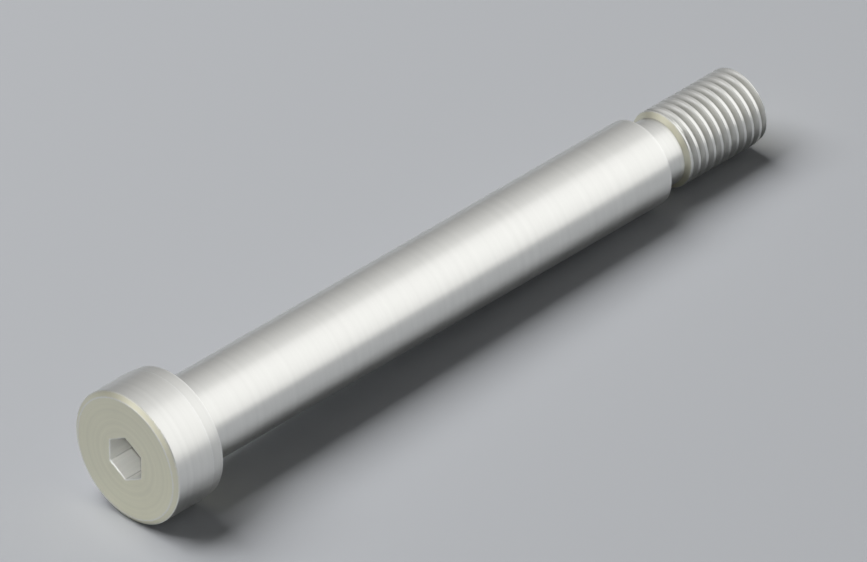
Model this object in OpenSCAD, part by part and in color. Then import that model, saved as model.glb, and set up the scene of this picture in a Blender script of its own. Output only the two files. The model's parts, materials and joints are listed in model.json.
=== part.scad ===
// Shoulder bolt: a socket head, a ground shoulder and a fine-threaded end, turned from one bar.
// The axis runs along +Y with the head at the -Y end, and the bolt lies on its side.
// The origin is the centre of the head's bearing face, where the head meets the clamped part.

/* [Head] */
// Outside diameter of the head
head_d = 10; // [9:0.25:16]
// Height of the head, from its bearing face to its outer face
head_h = 4.5; // [4:0.25:10]
// Width of the chamfer round the outer face, measured along the radius
face_chamfer_w = 0.4; // [0.1:0.05:1]
// Depth of that chamfer, measured along the axis
face_chamfer_h = 0.25; // [0.1:0.05:1]
// Height of the slightly tapered band next to the bearing face
band_h = 1; // [0.5:0.1:2]
// How much the radius of the band falls by at the bearing face
band_taper = 0.1; // [0.02:0.02:0.4]

/* [Hex socket] */
// Width of the socket across its flats
socket_af = 3; // [2:0.5:5]
// Depth of the flats, from the outer face of the head
socket_depth = 2.4; // [1.5:0.1:2.8]
// How much narrower the drilled pilot hole is than the flats
pilot_allowance = 0.2; // [0.1:0.1:0.8]
// Full angle of the drill point below the flats
drill_angle = 120; // [90:2:150]

/* [Shoulder] */
// Diameter of the ground shoulder
shoulder_d = 6.5; // [6:0.1:7.5]
// Length of the shoulder, from the bearing face to the step
shoulder_l = 45; // [6:1:120]
// Width of the grinding relief under the head, measured along the shoulder
relief_w = 1; // [0.6:0.1:2]
// Length of the relief's cylindrical floor, from the bearing face
relief_floor = 0.45; // [0.2:0.05:0.55]
// Depth of the relief below the shoulder, measured along the radius
relief_depth = 0.2; // [0.1:0.05:0.5]
// How far the relief reaches out over the bearing face
relief_reach = 0.45; // [0.2:0.05:0.6]
// Depth of the relief below the bearing face
relief_dip = 0.1; // [0.05:0.05:0.3]

/* [Threaded end] */
// Length of the end beyond the shoulder, neck included
end_l = 9.75; // [4:0.25:20]
// Outside diameter of the thread, over its crests
thread_d = 5.8; // [5.4:0.1:6]
// Length of the lead-in cone between the neck and the full thread diameter
lead_in_h = 0.28; // [0.1:0.02:0.8]
// Diameter of the neck between the shoulder and the thread
neck_d = 5; // [3.5:0.1:5.3]
// Length of the neck
neck_l = 2; // [1:0.1:3]
// Radius of the fillet in the corner between the neck and the shoulder
neck_fillet_r = 0.25; // [0.1:0.05:0.6]

/* [Hidden] */
$fn = 96;
// Cuts start this far outside the metal
overcut = 1;
head_r = head_d / 2;
face_r = head_r - face_chamfer_w;
bearing_r = head_r - band_taper;
pilot_r = (socket_af - pilot_allowance) / 2;
shoulder_r = shoulder_d / 2;
relief_r = shoulder_r - relief_depth;
neck_r = neck_d / 2;
neck_end = shoulder_l + neck_l;
thread_r = thread_d / 2;
tip = shoulder_l + end_l;
steel = [0.80, 0.80, 0.77];

// Half section of the bolt: X is the radius and Y the distance past the bearing face
module half_section() {
    polygon([
        [0, -head_h],
        [face_r, -head_h],
        [head_r, face_chamfer_h - head_h],
        [head_r, -band_h],
        [bearing_r, 0],
        [shoulder_r + relief_reach, 0],
        [relief_r, -relief_dip],
        [relief_r, relief_floor],
        [shoulder_r, relief_w],
        [shoulder_r, shoulder_l],
        [neck_r, shoulder_l],
        [neck_r, neck_end],
        [thread_r, neck_end + lead_in_h],
        [thread_r, tip],
        [0, tip]
    ]);
    translate([neck_r, shoulder_l]) corner_fillet(neck_fillet_r);
}

// Fills an inside corner at the origin, between the X and Y axes, with a concave arc
module corner_fillet(r) {
    difference() {
        square(r);
        translate([r, r]) circle(r);
    }
}

// Broached hexagon over its drilled pilot hole, opening at z = 0 and going down along +Z
// Two of its flats face along X
module hex_socket() {
    rotate([0, 0, 30])
        translate([0, 0, -overcut])
            cylinder(h = socket_depth + overcut, d = socket_af / cos(30), $fn = 6);
    rotate_extrude()
        polygon([
            [0, 0],
            [pilot_r, 0],
            [pilot_r, socket_depth],
            [0, socket_depth + pilot_r / tan(drill_angle / 2)]
        ]);
}

module shoulder_bolt() {
    color(steel)
        rotate([-90, 0, 0])
            difference() {
                rotate_extrude() half_section();
                translate([0, 0, -head_h]) hex_socket();
            }
}

shoulder_bolt();
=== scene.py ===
"""Looks of the shoulder bolt: one detailed mesh with its cut thread, satin steel, a soft studio.

The bolt's axis runs along +Y with the head at the -Y end. Lengths are named in millimetres and
turned into metres where an object is made. Angles round the axis count from +Z towards +X.
"""

import json
import math
from collections import namedtuple
from functools import partial

import bmesh
import bpy
from mathutils import Matrix, Vector


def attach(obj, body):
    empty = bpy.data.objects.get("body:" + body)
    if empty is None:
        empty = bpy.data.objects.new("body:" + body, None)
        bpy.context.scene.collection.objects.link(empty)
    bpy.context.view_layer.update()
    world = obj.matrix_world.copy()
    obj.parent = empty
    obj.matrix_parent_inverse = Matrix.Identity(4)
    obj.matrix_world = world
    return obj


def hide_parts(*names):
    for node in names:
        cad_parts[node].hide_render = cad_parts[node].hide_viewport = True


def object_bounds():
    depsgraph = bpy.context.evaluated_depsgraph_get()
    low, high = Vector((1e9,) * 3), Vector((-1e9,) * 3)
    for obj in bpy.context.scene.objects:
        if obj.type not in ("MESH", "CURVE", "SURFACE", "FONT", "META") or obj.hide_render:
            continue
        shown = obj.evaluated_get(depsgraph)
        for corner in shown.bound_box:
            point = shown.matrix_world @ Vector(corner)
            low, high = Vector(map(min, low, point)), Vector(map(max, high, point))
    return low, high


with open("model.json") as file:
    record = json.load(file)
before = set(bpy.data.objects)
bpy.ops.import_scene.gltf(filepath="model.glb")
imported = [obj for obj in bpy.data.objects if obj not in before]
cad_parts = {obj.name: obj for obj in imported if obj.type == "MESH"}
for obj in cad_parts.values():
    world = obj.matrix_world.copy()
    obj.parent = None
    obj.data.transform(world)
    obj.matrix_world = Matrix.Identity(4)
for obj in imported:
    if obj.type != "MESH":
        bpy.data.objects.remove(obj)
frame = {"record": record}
cad_low, cad_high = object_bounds()

MM = 0.001
TAU = math.tau
mounts = {mount["name"]: mount for mount in frame["record"]["mounts"]}

# Head and hex socket
HEAD_R = cad_high.x / MM
FACE_Y = cad_low.y / MM
FACE_CHAMFER_W = 0.4
FACE_CHAMFER_H = 0.25
BAND_H = 1.0
BAND_TAPER = 0.1
SOCKET_AF = 3.0
SOCKET_DEPTH = 2.4
PILOT_R = 1.4
DRILL_ANGLE = math.radians(120)

# Shoulder and the relief under the head
SHOULDER_R = mounts["shoulder"]["dims"]["r_mm"]
SHOULDER_L = mounts["shoulder_step"]["pos_m"][1] / MM
RELIEF_W = 1.0
RELIEF_FLOOR = 0.45
RELIEF_DEPTH = 0.2
RELIEF_R = SHOULDER_R - RELIEF_DEPTH
RELIEF_REACH = 0.45
RELIEF_DIP = 0.1

# Neck and thread. The thread deepens from nothing over its run-in, and leaves through the tip.
TIP_Y = cad_high.y / MM
NECK_R = 2.5
NECK_L = 2.0
NECK_END = SHOULDER_L + NECK_L
NECK_FILLET_R = 0.25
LEAD_IN_H = 0.28
LEAD_IN_END = NECK_END + LEAD_IN_H
THREAD_R = mounts["threaded_end"]["dims"]["r_mm"]
THREAD_PITCH = 0.75
THREAD_DEPTH = 0.37
THREAD_LAND = 0.08
THREAD_START = LEAD_IN_END + THREAD_LAND
THREAD_RUN_IN = 0.40

# Edges that a file or a tumbler has just broken
EDGE_R = 0.05
LEAD_IN_EDGE_R = 0.04
RIM_BREAK = 0.03
TIP_BREAK = 0.08

# Mesh density: the columns are a multiple of 12, so that the socket's corners fall on columns
COLUMNS = 144
ARC_STEPS = 3
LONGEST_STRIP = 2.0
EDGE_STRIP = 0.12

# Rings on the pilot's cone as shares of its radius, and on the tip as shares of the neck's radius
PILOT_RINGS = (0.1, 0.4, 0.7, 0.97)
TIP_RINGS = (0.85, 0.5)

# Rings on the head's face as shares of the way from the socket's rim to its first round ring
FACE_RINGS = (0.15, 0.55, 1.0)
ROUND_R = 2.4

# Rows of mesh in one pitch of thread, and how many rows from the middle of a crest its flat ends
# and its flank ends
THREAD_ROWS = 24
CREST_ROWS = 3.5
FLANK_ROWS = 10.5
# A row that is less than this share of a row from an end of the thread joins the ring there
ROW_SNAP = 0.2

# A crease sharper than this stays crisp
CREASE = math.radians(48)
# Only the two closing points are this close to the axis, in metres
ON_AXIS = 1e-7

# How bare the surface is: 1 on worn edges, 0 in the open and -1 in the deepest corners
# Below 0 the steel is painted darker: partly dirt, partly painted shade in corners, hollows and
# thread roots
WORN, OPEN, SHADED, RECESSED, DEEP = 1.0, 0.0, -0.1, -0.5, -1.0
RELIEF_GRIME_AND_SHADE = -0.6

# The finishes, in the order of FINISHES
TURNED, FACED, GROUND, BAND, THREADED, BROACHED = range(6)

# A corner's finish is that of the strip before it. The edge round a crisp corner isn't smoothed.
Corner = namedtuple(
    "Corner", "radius y rounding wear finish crisp", defaults=(0.0, OPEN, TURNED, False)
)

# Half section of the bolt, from the head's face to the start of the thread
CORNERS = [
    Corner(ROUND_R, FACE_Y),
    Corner(HEAD_R - FACE_CHAMFER_W, FACE_Y, EDGE_R, WORN, FACED),
    Corner(HEAD_R, FACE_Y + FACE_CHAMFER_H, EDGE_R, WORN, FACED),
    # This edge is lighter worn steel: partly wear, partly a painted highlight that makes the band's
    # edge stand out
    Corner(HEAD_R, -BAND_H, 0.0, WORN, TURNED, True),
    # The band up to here is painted darker than the steel, as painted shade
    Corner(HEAD_R - BAND_TAPER, 0.0, EDGE_R, WORN, BAND),
    Corner(SHOULDER_R + RELIEF_REACH, 0.0, 0.0, OPEN, FACED),
    # The relief's corners and the neck are painted darker: partly grime, partly painted shade
    Corner(RELIEF_R, -RELIEF_DIP, EDGE_R, DEEP),
    Corner(RELIEF_R, RELIEF_FLOOR, EDGE_R, RELIEF_GRIME_AND_SHADE),
    Corner(SHOULDER_R, RELIEF_W, EDGE_R),
    Corner(SHOULDER_R, SHOULDER_L, EDGE_R, WORN, GROUND),
    Corner(NECK_R, SHOULDER_L, NECK_FILLET_R, DEEP),
    Corner(NECK_R, NECK_END, 0.0, RECESSED),
    Corner(THREAD_R, LEAD_IN_END, LEAD_IN_EDGE_R, WORN, FACED),
    Corner(THREAD_R, THREAD_START, 0.0, OPEN, THREADED),
]


def hexagon(angle, across_flats, roundness=0.0):
    """Distance from the axis to a hexagon that has two corners on the Z axis.

    A roundness of 1 turns it into the first round ring of the head's face.
    """
    from_flat = angle % (TAU / 6) - TAU / 12
    straight = across_flats / 2 / math.cos(from_flat)
    return straight * (1 - roundness) + ROUND_R * roundness


def socket_grime_and_shade(angle):
    """Dirt and painted shade, darkest in the socket's six corners, and a little on its flats."""
    from_corner = abs((angle + TAU / 12) % (TAU / 6) - TAU / 12)
    return DEEP if from_corner < TAU / COLUMNS / 2 else SHADED


def thread_radius(angle, y):
    """Radius of the thread. One of its crests meets the tip halfway between +Z and +X."""
    turns = (y - TIP_Y) / THREAD_PITCH - (angle - TAU / 8) / TAU
    rows_off = abs(turns - round(turns)) * THREAD_ROWS
    down = min(max((rows_off - CREST_ROWS) / (FLANK_ROWS - CREST_ROWS), 0.0), 1.0)
    depth = THREAD_DEPTH * min((y - THREAD_START) / THREAD_RUN_IN, 1.0)
    broken = THREAD_R - max(0.0, y - (TIP_Y - TIP_BREAK))
    return min(THREAD_R - depth * down, broken)


def rounded(before, corner, after):
    """A corner as stations along the arc that rounds it."""
    place = Vector((corner.radius, corner.y))
    into = (place - Vector((before.radius, before.y))).normalized()
    out = (Vector((after.radius, after.y)) - place).normalized()
    turn = into.angle(out)
    aside = (out - into * math.cos(turn)) / math.sin(turn)
    start = place - into * corner.rounding * math.tan(turn / 2)
    for step in range(ARC_STEPS + 1):
        part = turn * step / ARC_STEPS
        way = into * math.sin(part) + aside * (1 - math.cos(part))
        station = start + way * corner.rounding
        yield corner._replace(radius=station.x, y=station.y)


def strip_stations(start, end):
    """Stations that cut up a strip: one close to each end, and more where it is long."""
    length = math.hypot(end.radius - start.radius, end.y - start.y)
    if length <= 3 * EDGE_STRIP:
        return []
    middle = length - 2 * EDGE_STRIP
    parts = math.ceil(middle / LONGEST_STRIP)
    stations = []
    for part in range(parts + 1):
        share = (EDGE_STRIP + middle * part / parts) / length
        radius = start.radius + (end.radius - start.radius) * share
        y = start.y + (end.y - start.y) * share
        stations.append(end._replace(radius=radius, y=y, wear=OPEN, crisp=False))
    return stations


def half_section():
    """Every ring's station along the corners, with roundings worked in and long strips cut up."""
    corners = [CORNERS[0]]
    for before, corner, after in zip(CORNERS, CORNERS[1:], CORNERS[2:]):
        if corner.rounding:
            corners += rounded(before, corner, after)
        else:
            corners.append(corner)
    corners.append(CORNERS[-1])

    stations = [corners[0]]
    for start, end in zip(corners, corners[1:]):
        stations += strip_stations(start, end) + [end]
    return stations


class Lathe:
    """Grows one closed mesh ring by ring, from the socket's bottom round the outside to the tip.

    "across" is the way gone over the surface in millimetres, which the tool marks follow.
    """

    def __init__(self):
        self.mesh = bmesh.new()
        self.across_layer = self.mesh.verts.layers.float.new("across")
        self.wear_layer = self.mesh.verts.layers.float.new("wear")
        self.ring = None
        self.last = None
        self.across = 0.0

    def vertex(self, radius, angle, y, across, wear=OPEN):
        place = Vector((radius * math.sin(angle), y, radius * math.cos(angle)))
        made = self.mesh.verts.new(place * MM)
        made[self.across_layer] = across
        made[self.wear_layer] = wear
        return made

    def face(self, vertices, finish):
        """A face, unless fewer than three of its vertices differ."""
        corners = list(dict.fromkeys(vertices))
        if len(corners) > 2:
            made = self.mesh.faces.new(corners)
            made.material_index = finish
            made.smooth = True

    def start(self, y, wear):
        """The closing point on the axis, where the mesh starts."""
        self.ring = [self.vertex(0.0, 0.0, y, self.across, wear)] * COLUMNS
        self.last = Vector((0.0, y))

    def add(self, radius, y, wear=OPEN, finish=TURNED, crisp=False):
        """A ring, joined to the one before. Its radius and wear may be functions of the angle."""
        angles = [TAU * column / COLUMNS for column in range(COLUMNS)]
        radii = [radius(angle) if callable(radius) else radius for angle in angles]
        wears = [wear(angle) if callable(wear) else wear for angle in angles]
        place = Vector((sum(radii) / COLUMNS, y))
        self.across += (place - self.last).length
        self.last = place
        ring = [
            self.vertex(radii[column], angles[column], y, self.across, wears[column])
            for column in range(COLUMNS)
        ]
        self.join(ring, finish)
        if crisp:
            for vertex, beside in zip(ring, ring[1:] + ring[:1]):
                self.mesh.edges.get((vertex, beside)).smooth = False

    def join(self, ring, finish):
        for column in range(COLUMNS):
            beside = (column + 1) % COLUMNS
            self.face([self.ring[column], self.ring[beside], ring[beside], ring[column]], finish)
        self.ring = ring

    def close(self, y, finish):
        """The closing point on the axis, where the mesh ends."""
        self.across += self.last.x
        self.join([self.vertex(0.0, 0.0, y, self.across)] * COLUMNS, finish)

    def thread(self):
        """The right-hand thread, from the current ring to the tip. Its rows wind round with it."""
        start_ring, start_across = self.ring, self.across
        end_across = start_across + TIP_Y - THREAD_START
        end_ring = []
        for column in range(COLUMNS):
            angle = TAU * column / COLUMNS
            end_ring.append(self.vertex(thread_radius(angle, TIP_Y), angle, TIP_Y, end_across))
        snap = ROW_SNAP * THREAD_PITCH / THREAD_ROWS
        made = {}

        def vertex_at(row, column):
            """A vertex of the thread. After the last column comes the first, a pitch further on."""
            if column == COLUMNS:
                row, column = row + THREAD_ROWS, 0
            angle = TAU * column / COLUMNS
            y = THREAD_START + THREAD_PITCH * (row / THREAD_ROWS - 1 + column / COLUMNS)
            if y <= THREAD_START + snap:
                return start_ring[column]
            if y >= TIP_Y - snap:
                return end_ring[column]
            if (row, column) not in made:
                radius = thread_radius(angle, y)
                # The thread's roots are painted darker the deeper they lie: partly grime, partly
                # painted shade
                wear = DEEP * (THREAD_R - radius) / THREAD_DEPTH
                across = start_across + y - THREAD_START
                made[row, column] = self.vertex(radius, angle, y, across, wear)
            return made[row, column]

        rows = THREAD_ROWS * (math.ceil((TIP_Y - THREAD_START) / THREAD_PITCH) + 1)
        for row in range(rows):
            for column in range(COLUMNS):
                near = [vertex_at(row, column), vertex_at(row, column + 1)]
                far = [vertex_at(row + 1, column + 1), vertex_at(row + 1, column)]
                self.face(near + far, THREADED)
        self.ring, self.across = end_ring, end_across
        self.last = Vector((THREAD_R - TIP_BREAK, TIP_Y))

    def lay_out(self):
        """The map that the materials are baked through: round the axis and across the surface."""
        layer = self.mesh.loops.layers.uv.new("OFBake")
        for face in self.mesh.faces:
            centre = face.calc_center_median()
            middle = math.atan2(centre.x, centre.z) % TAU
            for loop in face.loops:
                place = loop.vert.co
                angle = middle
                if place.xz.length > ON_AXIS:
                    angle = math.atan2(place.x, place.z) % TAU
                    if middle - angle > TAU / 2:
                        angle += TAU
                loop[layer].uv = (angle / TAU, loop.vert[self.across_layer] / self.across)


def add_socket(lathe):
    """From the drilled pilot's point up the socket's walls and out to the first round ring."""
    flats_end = FACE_Y + SOCKET_DEPTH
    walls_end = FACE_Y + RIM_BREAK
    point_h = PILOT_R / math.tan(DRILL_ANGLE / 2)
    # The pilot and the socket's bottom are painted darker: partly grime, partly painted shade
    lathe.start(flats_end + point_h, DEEP)
    for share in PILOT_RINGS:
        lathe.add(PILOT_R * share, flats_end + (1 - share) * point_h, RECESSED, BROACHED)
    lathe.add(PILOT_R, flats_end, RECESSED, BROACHED)

    wall = partial(hexagon, across_flats=SOCKET_AF)
    lathe.add(wall, flats_end, DEEP, BROACHED)
    for y in (flats_end - EDGE_STRIP, (flats_end + walls_end) / 2, walls_end + EDGE_STRIP):
        lathe.add(wall, y, socket_grime_and_shade, BROACHED)
    lathe.add(wall, walls_end, WORN, BROACHED)

    rim = partial(hexagon, across_flats=SOCKET_AF + 2 * RIM_BREAK)
    lathe.add(rim, FACE_Y, WORN, BROACHED)
    for roundness in FACE_RINGS:
        lathe.add(partial(rim, roundness=roundness), FACE_Y, finish=FACED)


def bolt_mesh():
    """The whole bolt as one closed mesh."""
    lathe = Lathe()
    add_socket(lathe)
    for station in half_section()[1:]:
        lathe.add(station.radius, station.y, station.wear, station.finish, station.crisp)
    lathe.thread()
    for share in TIP_RINGS:
        lathe.add(NECK_R * share, TIP_Y, finish=FACED)
    lathe.close(TIP_Y, FACED)

    bmesh.ops.recalc_face_normals(lathe.mesh, faces=lathe.mesh.faces[:])
    for edge in lathe.mesh.edges:
        if edge.calc_face_angle() > CREASE:
            edge.smooth = False
    lathe.lay_out()
    data = bpy.data.meshes.new("turned_bolt")
    lathe.mesh.to_mesh(data)
    lathe.mesh.free()
    return data


class Nodes:
    """Short calls for shader nodes. An input is a number, a tuple or another node's output."""

    def __init__(self, tree):
        self.tree = tree

    def add(self, kind, inputs, output=0, **settings):
        """Makes a node, and gives back its output for another node to use."""
        node = self.tree.nodes.new(kind)
        for name, value in settings.items():
            setattr(node, name, value)
        for name, value in inputs.items():
            if isinstance(value, bpy.types.NodeSocket):
                self.tree.links.new(value, node.inputs[name])
            else:
                node.inputs[name].default_value = value
        return node.outputs[output] if node.outputs else None

    def sum(self, a, b):
        return self.add("ShaderNodeMath", {0: a, 1: b}, operation="ADD")

    def product(self, a, b):
        return self.add("ShaderNodeMath", {0: a, 1: b}, operation="MULTIPLY")

    def power(self, a, b):
        return self.add("ShaderNodeMath", {0: a, 1: b}, operation="POWER")

    def attribute(self, name):
        return self.add("ShaderNodeAttribute", {}, "Fac", attribute_name=name)

    def noise(self, place, detail=2.0, roughness=0.5):
        """Values round 0, mostly from -0.25 to 0.25."""
        inputs = {"Vector": place, "Scale": 1.0, "Detail": detail, "Roughness": roughness}
        return self.sum(self.add("ShaderNodeTexNoise", inputs), -0.5)

    def stretched(self, place, scale):
        return self.add("ShaderNodeVectorMath", {0: place, 1: scale}, operation="MULTIPLY")

    def between(self, value, low, high, to_low=0.0, to_high=1.0):
        """The value with low to high stretched to to_low to to_high, and held there."""
        inputs = {
            "Value": value,
            "From Min": low,
            "From Max": high,
            "To Min": to_low,
            "To Max": to_high,
        }
        return self.add("ShaderNodeMapRange", inputs)

    def blend(self, share, colour, other):
        """From one colour to the other. Inputs 6 and 7 and output 2 are a Mix node's colours."""
        inputs = {0: share, 6: colour, 7: other}
        return self.add("ShaderNodeMix", inputs, 2, data_type="RGBA")


# Steel as it is, where it was faced, on bare edges, and in the hollows, where it is painted duller
# as grime and painted shade
STEEL = (0.80, 0.80, 0.77, 1.0)
FACED_STEEL = (0.82, 0.80, 0.64, 1.0)
BRIGHT_STEEL = (0.88, 0.88, 0.86, 1.0)
DULL_STEEL = (0.50, 0.50, 0.47, 1.0)
BRIGHT_SHARE = 0.7
DULL_SHARE = 0.55

# The tint's factor in the darkest and in the lightest tool marks and clouds
DARKEST, LIGHTEST = 0.95, 1.05
CLOUD_CONTRAST = 0.3
TONE_REACH = 0.3

# Cycles of noise in a millimetre: fine grain, and broad clouds that are longer along the axis
GRAIN = (6.0, 6.0, 6.0)
CLOUDS = (0.3, 0.18, 0.3)
GRAIN_HEIGHT = 0.25

# Where worn edges begin, and how much the grain breaks them up and the clouds the grime and painted
# shade
WORN_FROM = 0.35
WORN_BREAKUP = 1.2
GRIME_AND_SHADE_BREAKUP = 0.8

# What full marks, clouds, grime and wear add to the roughness
MARKS_ROUGHNESS = 0.06
CLOUDS_ROUGHNESS = 0.04
GRIME_ROUGHNESS = 0.12
WORN_ROUGHNESS = -0.02


def shade(colour, factor):
    """The colour made darker or lighter."""
    return tuple(factor * part for part in colour[:3]) + (1.0,)


def new_material(name):
    """A material, and the short calls for its nodes."""
    material = bpy.data.materials.new(name)
    material.use_nodes = True
    material.node_tree.nodes.clear()
    return material, Nodes(material.node_tree)


def new_object(name, data):
    """An object that is in the scene."""
    made = bpy.data.objects.new(name, data)
    bpy.context.scene.collection.objects.link(made)
    return made


# The pitch, depth and length of a finish's tool marks are in millimetres
Finish = namedtuple(
    "Finish", "name tint roughness pitch depth length contrast along_axis", defaults=(False,)
)
FINISHES = [
    Finish("turned_steel", STEEL, 0.32, 0.36, 0.0003, 60.0, 0.9),
    Finish("faced_steel", FACED_STEEL, 0.34, 0.32, 0.0006, 60.0, 0.8),
    Finish("ground_steel", STEEL, 0.31, 0.45, 0.00004, 60.0, 0.6),
    # The band's tint is the steel painted 8% darker, as painted shade; its roughness and tool marks
    # are its own
    Finish("band_steel", shade(STEEL, 0.92), 0.38, 0.28, 0.0004, 60.0, 0.7),
    Finish("thread_steel", STEEL, 0.30, 0.20, 0.0003, 40.0, 0.4),
    Finish("broached_steel", STEEL, 0.70, 0.20, 0.0020, 2.5, 0.8, True),
]


def tool_marks(nodes, finish, place):
    """Noise drawn out into marks, round the axis or along it as the finish says."""
    if finish.along_axis:
        scale = (1 / finish.pitch, 1 / finish.length, 1 / finish.pitch)
        return nodes.noise(nodes.stretched(place, scale), detail=1.0)
    x_and_z = nodes.stretched(place, (1 / finish.length, 0.0, 1 / finish.length))
    steps = nodes.product(nodes.attribute("across"), 1 / finish.pitch)
    over = nodes.add("ShaderNodeCombineXYZ", {"Y": steps})
    marks_place = nodes.add("ShaderNodeVectorMath", {0: x_and_z, 1: over}, operation="ADD")
    return nodes.noise(marks_place, detail=1.0)


def steel(finish):
    """Satin steel with a finish's tool marks, worn edges, and its corners painted darker as grime
    and painted shade.
    """
    material, nodes = new_material(finish.name)
    metres = nodes.add("ShaderNodeTexCoord", {}, "Object")
    place = nodes.stretched(metres, (1 / MM,) * 3)
    marks = tool_marks(nodes, finish, place)
    grain = nodes.noise(nodes.stretched(place, GRAIN))
    cloud = nodes.noise(nodes.stretched(place, CLOUDS), detail=3.0)

    wear = nodes.attribute("wear")
    worn = nodes.between(nodes.sum(wear, nodes.product(grain, WORN_BREAKUP)), WORN_FROM, WORN)
    grime_and_shade = nodes.between(nodes.sum(wear, nodes.product(cloud, GRIME_AND_SHADE_BREAKUP)), SHADED, DEEP)

    tone = nodes.sum(nodes.product(marks, finish.contrast), nodes.product(cloud, CLOUD_CONTRAST))
    tone = nodes.between(tone, -TONE_REACH, TONE_REACH)
    colour = nodes.blend(tone, shade(finish.tint, DARKEST), shade(finish.tint, LIGHTEST))
    # Hollows painted toward dull steel: partly grime, partly painted shade
    colour = nodes.blend(nodes.product(grime_and_shade, DULL_SHARE), colour, DULL_STEEL)
    colour = nodes.blend(nodes.product(worn, BRIGHT_SHARE), colour, BRIGHT_STEEL)

    rough = finish.roughness
    for part, change in (
        (marks, MARKS_ROUGHNESS * finish.contrast),
        (cloud, CLOUDS_ROUGHNESS),
        (grime_and_shade, GRIME_ROUGHNESS),
        (worn, WORN_ROUGHNESS),
    ):
        rough = nodes.sum(rough, nodes.product(part, change))

    height = nodes.sum(marks, nodes.product(grain, GRAIN_HEIGHT))
    bump_inputs = {"Height": height, "Strength": 1.0, "Distance": finish.depth * MM}
    bump = nodes.add("ShaderNodeBump", bump_inputs)
    surface = nodes.add(
        "ShaderNodeBsdfPrincipled",
        {"Base Color": colour, "Metallic": 1.0, "Roughness": rough, "Normal": bump},
    )
    nodes.add("ShaderNodeOutputMaterial", {"Surface": surface})
    return material


def make_bolt():
    """The bolt, which stands for the whole CAD node."""
    data = bolt_mesh()
    for finish in FINISHES:
        data.materials.append(steel(finish))
    bolt = new_object("turned_bolt", data)
    weighted = bolt.modifiers.new("weighted_normals", "WEIGHTED_NORMAL")
    weighted.keep_sharp = True
    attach(bolt, "root")
    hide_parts("shoulder_bolt")


# The bolt lies on its head's rim and on its tip, so the floor slopes a little against its axis
REST_HEAD = Vector((0.0, -BAND_H, -HEAD_R))
REST_TIP = Vector((0.0, TIP_Y - TIP_BREAK, -THREAD_R))

FLOOR_R = 1500.0
FLOOR_SIDES = 96
FLOOR_COLOUR = (0.54, 0.555, 0.58, 1.0)
# Between these distances from its middle, the floor fades into the backdrop's even colour
FADE_FROM, FADE_TO = 60.0, 220.0
BACKDROP_COLOUR = (0.438, 0.451, 0.470, 1.0)

# The camera looks down a diagonal, so what the bolt's sides mirror lies on a cone round the axis
MIRROR_CONE = math.acos(1 / math.sqrt(3))


def on_mirror_cone(turn, beyond=0):
    """The direction on that cone at a turn about the axis, in degrees from +X towards +Z.

    It can lie some degrees beyond the cone, towards the tip's end.
    """
    cone = MIRROR_CONE - math.radians(beyond)
    angle = math.radians(turn)
    return (math.sin(cone) * math.cos(angle), math.cos(cone), math.sin(cone) * math.sin(angle))


# A softbox lights either what mirrors, which is the steel, or what doesn't, which is the floor.
# Its distance, width and depth are in metres, and its face is as bright as its strength.
Softbox = namedtuple(
    "Softbox", "name direction distance width depth wide_along strength for_steel"
)
SOFTBOXES = [
    # Its reflection is the bright line along the shoulder
    Softbox("panel", on_mirror_cone(47, 4), 1.0, 1.40, 0.56, (-1, 0, 1), 0.22, True),
    # It lights the chamfer
    Softbox("front_panel", (-0.10, -0.96, 0.20), 1.0, 1.00, 0.46, (1, 0, 0), 0.7, True),
    # It lights the socket's lower side. From the top, it is a bright line along the shoulder.
    Softbox("high_light", (0.34, -0.38, 0.86), 1.0, 0.60, 0.60, (1, 1, 0), 1.9, True),
    # It lays the shadow under the bolt
    Softbox("top_light", (-0.52, -0.30, 1), 1.0, 0.70, 0.86, (1, 0, 0), 5.5, False),
]

# Soft glows in the sky that the steel mirrors: past the tip, overhead, and past the head
Glow = namedtuple("Glow", "direction strength narrowness")
GLOWS = [
    Glow((0.26, 0.91, 0.33), 1.22, 3.0),
    Glow((0.00, -0.35, 0.94), 0.25, 12.0),
    Glow((-0.55, -0.62, 0.56), 0.85, 14.0),
]
# The sky's level on what doesn't mirror it, and how softly it starts at the horizon
FILL_LIGHT = 0.06
HORIZON_BLUR = 0.01

# A small lamp whose beam goes into the socket. Its edge is the share of the beam that is soft.
BEAM_DIRECTION = (0.56, -0.56, 0.66)
BEAM_DISTANCE = 200.0
BEAM_ANGLE = math.radians(1.0)
BEAM_EDGE = 0.3
BEAM_LAMP_R = 1.0
BEAM_POWER = 0.9

# The camera's lens and sensor, the point on the axis that it aims at, and its distance from there
LENS = 1000.0
SENSOR = 36.0
AIM_Y = 25.03
CAMERA_DISTANCE = 1648.0


def facing(back):
    """The turn of a lamp or camera that has this direction behind it."""
    return (-back).to_track_quat("-Z", "Y").to_euler()


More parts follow.
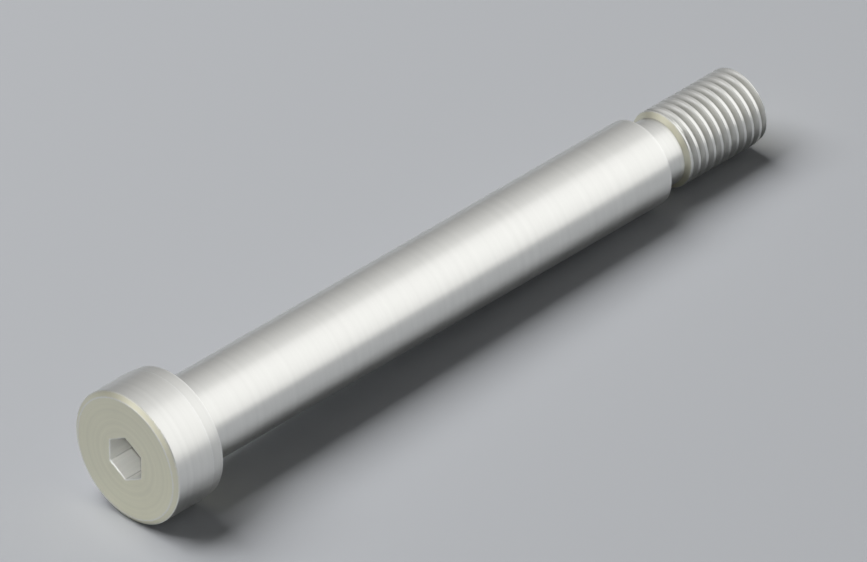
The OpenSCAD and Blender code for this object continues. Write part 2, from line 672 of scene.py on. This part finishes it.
def make_floor():
    """A plain pale floor, which turns into the even colour of the backdrop away from the bolt."""
    slope = (REST_TIP.z - REST_HEAD.z) / (REST_TIP.y - REST_HEAD.y)
    sheet = bmesh.new()
    bmesh.ops.create_circle(sheet, cap_ends=True, segments=FLOOR_SIDES, radius=FLOOR_R * MM)
    data = bpy.data.meshes.new("floor")
    sheet.to_mesh(data)
    sheet.free()
    floor = new_object("floor", data)
    middle_y = (cad_low.y + cad_high.y) / 2
    floor.location = (0.0, middle_y, REST_HEAD.z * MM + slope * (middle_y - REST_HEAD.y * MM))
    floor.rotation_euler = (math.atan(slope), 0.0, 0.0)

    material, nodes = new_material("pale_floor")
    place = nodes.add("ShaderNodeTexCoord", {}, "Object")
    away = nodes.add("ShaderNodeVectorMath", {0: place}, "Value", operation="LENGTH")
    fade = nodes.between(away, FADE_FROM * MM, FADE_TO * MM)
    near = nodes.add("ShaderNodeBsdfDiffuse", {"Color": FLOOR_COLOUR})
    far = nodes.add("ShaderNodeEmission", {"Color": BACKDROP_COLOUR})
    surface = nodes.add("ShaderNodeMixShader", {0: fade, 1: near, 2: far})
    nodes.add("ShaderNodeOutputMaterial", {"Surface": surface})
    data.materials.append(material)


def make_world():
    """The soft glows, as the steel mirrors them, over the even colour of the backdrop."""
    world = bpy.data.worlds.new("studio")
    bpy.context.scene.world = world
    world.use_nodes = True
    world.node_tree.nodes.clear()
    nodes = Nodes(world.node_tree)
    direction = nodes.add("ShaderNodeTexCoord", {}, "Generated")
    glow_light = 0.0
    for glow in GLOWS:
        inputs = {0: direction, 1: tuple(Vector(glow.direction).normalized())}
        nearness = nodes.add("ShaderNodeVectorMath", inputs, "Value", operation="DOT_PRODUCT")
        falloff = nodes.power(nodes.between(nearness, -1.0, 1.0), glow.narrowness)
        glow_light = nodes.sum(glow_light, nodes.product(falloff, glow.strength))
    is_mirrored = nodes.add("ShaderNodeLightPath", {}, "Is Glossy Ray")
    level = nodes.between(is_mirrored, 0.0, 1.0, FILL_LIGHT, glow_light)
    light = nodes.add("ShaderNodeCombineColor", {"Red": level, "Green": level, "Blue": level})
    height = nodes.add("ShaderNodeSeparateXYZ", {"Vector": direction}, "Z")
    above = nodes.between(height, -HORIZON_BLUR, HORIZON_BLUR)
    colour = nodes.blend(above, BACKDROP_COLOUR, light)
    shader = nodes.add("ShaderNodeBackground", {"Color": colour, "Strength": 1.0})
    nodes.add("ShaderNodeOutputWorld", {"Surface": shader})


def make_softbox(box):
    """An area lamp that looks at the middle of the bolt."""
    lamp = bpy.data.lights.new(box.name, "AREA")
    lamp.shape = "RECTANGLE"
    lamp.size = box.width
    lamp.size_y = box.depth
    lamp.energy = math.pi * box.width * box.depth * box.strength
    softbox = new_object(box.name, lamp)
    back = Vector(box.direction).normalized()
    wide = Vector(box.wide_along)
    wide = (wide - back * wide.dot(back)).normalized()
    turn = Matrix((wide, back.cross(wide), back)).transposed()
    middle = (cad_low + cad_high) / 2
    softbox.matrix_world = Matrix.Translation(middle + back * box.distance) @ turn.to_4x4()
    softbox.visible_camera = False
    softbox.visible_glossy = box.for_steel
    softbox.visible_diffuse = not box.for_steel


def make_beam():
    """A narrow beam into the hex socket, which also falls on the head's face close round it."""
    lamp = bpy.data.lights.new("socket_beam", "SPOT")
    lamp.spot_size = BEAM_ANGLE
    lamp.spot_blend = BEAM_EDGE
    lamp.shadow_soft_size = BEAM_LAMP_R * MM
    lamp.energy = BEAM_POWER
    beam = new_object("socket_beam", lamp)
    back = Vector(BEAM_DIRECTION).normalized()
    beam.location = (Vector((0.0, FACE_Y, 0.0)) + back * BEAM_DISTANCE) * MM
    beam.rotation_euler = facing(back)
    beam.visible_diffuse = False


def make_camera():
    """An isometric view through a long lens, placed so that both ends match the photograph."""
    data = bpy.data.cameras.new("camera")
    data.lens = LENS
    data.sensor_width = SENSOR
    data.clip_start = 0.01
    data.clip_end = 20.0
    camera = new_object("camera", data)
    back = Vector((1.0, -1.0, 1.0)).normalized()
    aim = Vector((0.0, AIM_Y, 0.0)) * MM
    camera.location = aim + back * CAMERA_DISTANCE * MM
    camera.rotation_euler = facing(back)
    bpy.context.scene.camera = camera


make_bolt()
make_floor()
make_world()
for softbox in SOFTBOXES:
    make_softbox(softbox)
make_beam()
make_camera()
bpy.context.scene.view_settings.view_transform = "Standard"
